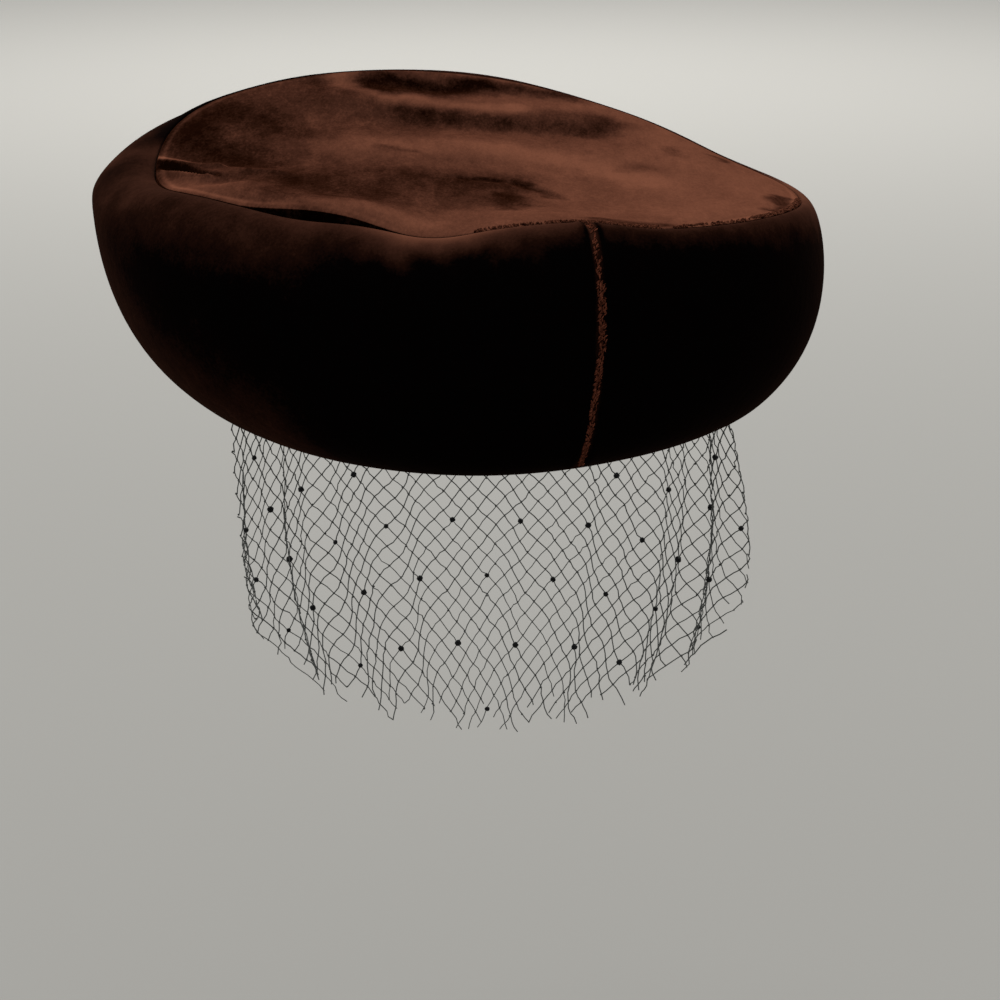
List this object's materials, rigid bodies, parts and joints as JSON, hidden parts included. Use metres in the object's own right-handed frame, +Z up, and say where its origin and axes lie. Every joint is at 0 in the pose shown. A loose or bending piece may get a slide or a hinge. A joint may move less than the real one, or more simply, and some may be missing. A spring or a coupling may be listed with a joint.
{
  "type": "half hat with face veil",
  "caption": "Velvet half hat with a flat sunken tip, a wide rounded side band turned under to the head opening, and a fine dotted net face veil hanging from inside the band.",
  "frame": {"origin": "centre of the head opening, level with the turned-under edge of the band, where the hat sits on a head", "axes": "+Z up as the hat is worn, the wearer faces -Y, +X is the wearer's left; the back seam is at +Y, a little to the wearer's right of the middle"},
  "size_m": [0.227, 0.2176, 0.2309],
  "materials": {
    "band_velvet": "deep dark brown velvet pile, nearly black where it faces the viewer and reddish brown at its edges",
    "tip_velvet": "the same velvet lit from above, reddish brown with darker crushed patches",
    "veil_net": "matte black fine net thread with small chenille dots"
  },
  "bodies": {
    "root": {"side_band": "band_velvet", "tip": "tip_velvet", "veil": "veil_net"}
  },
  "joints": []
}
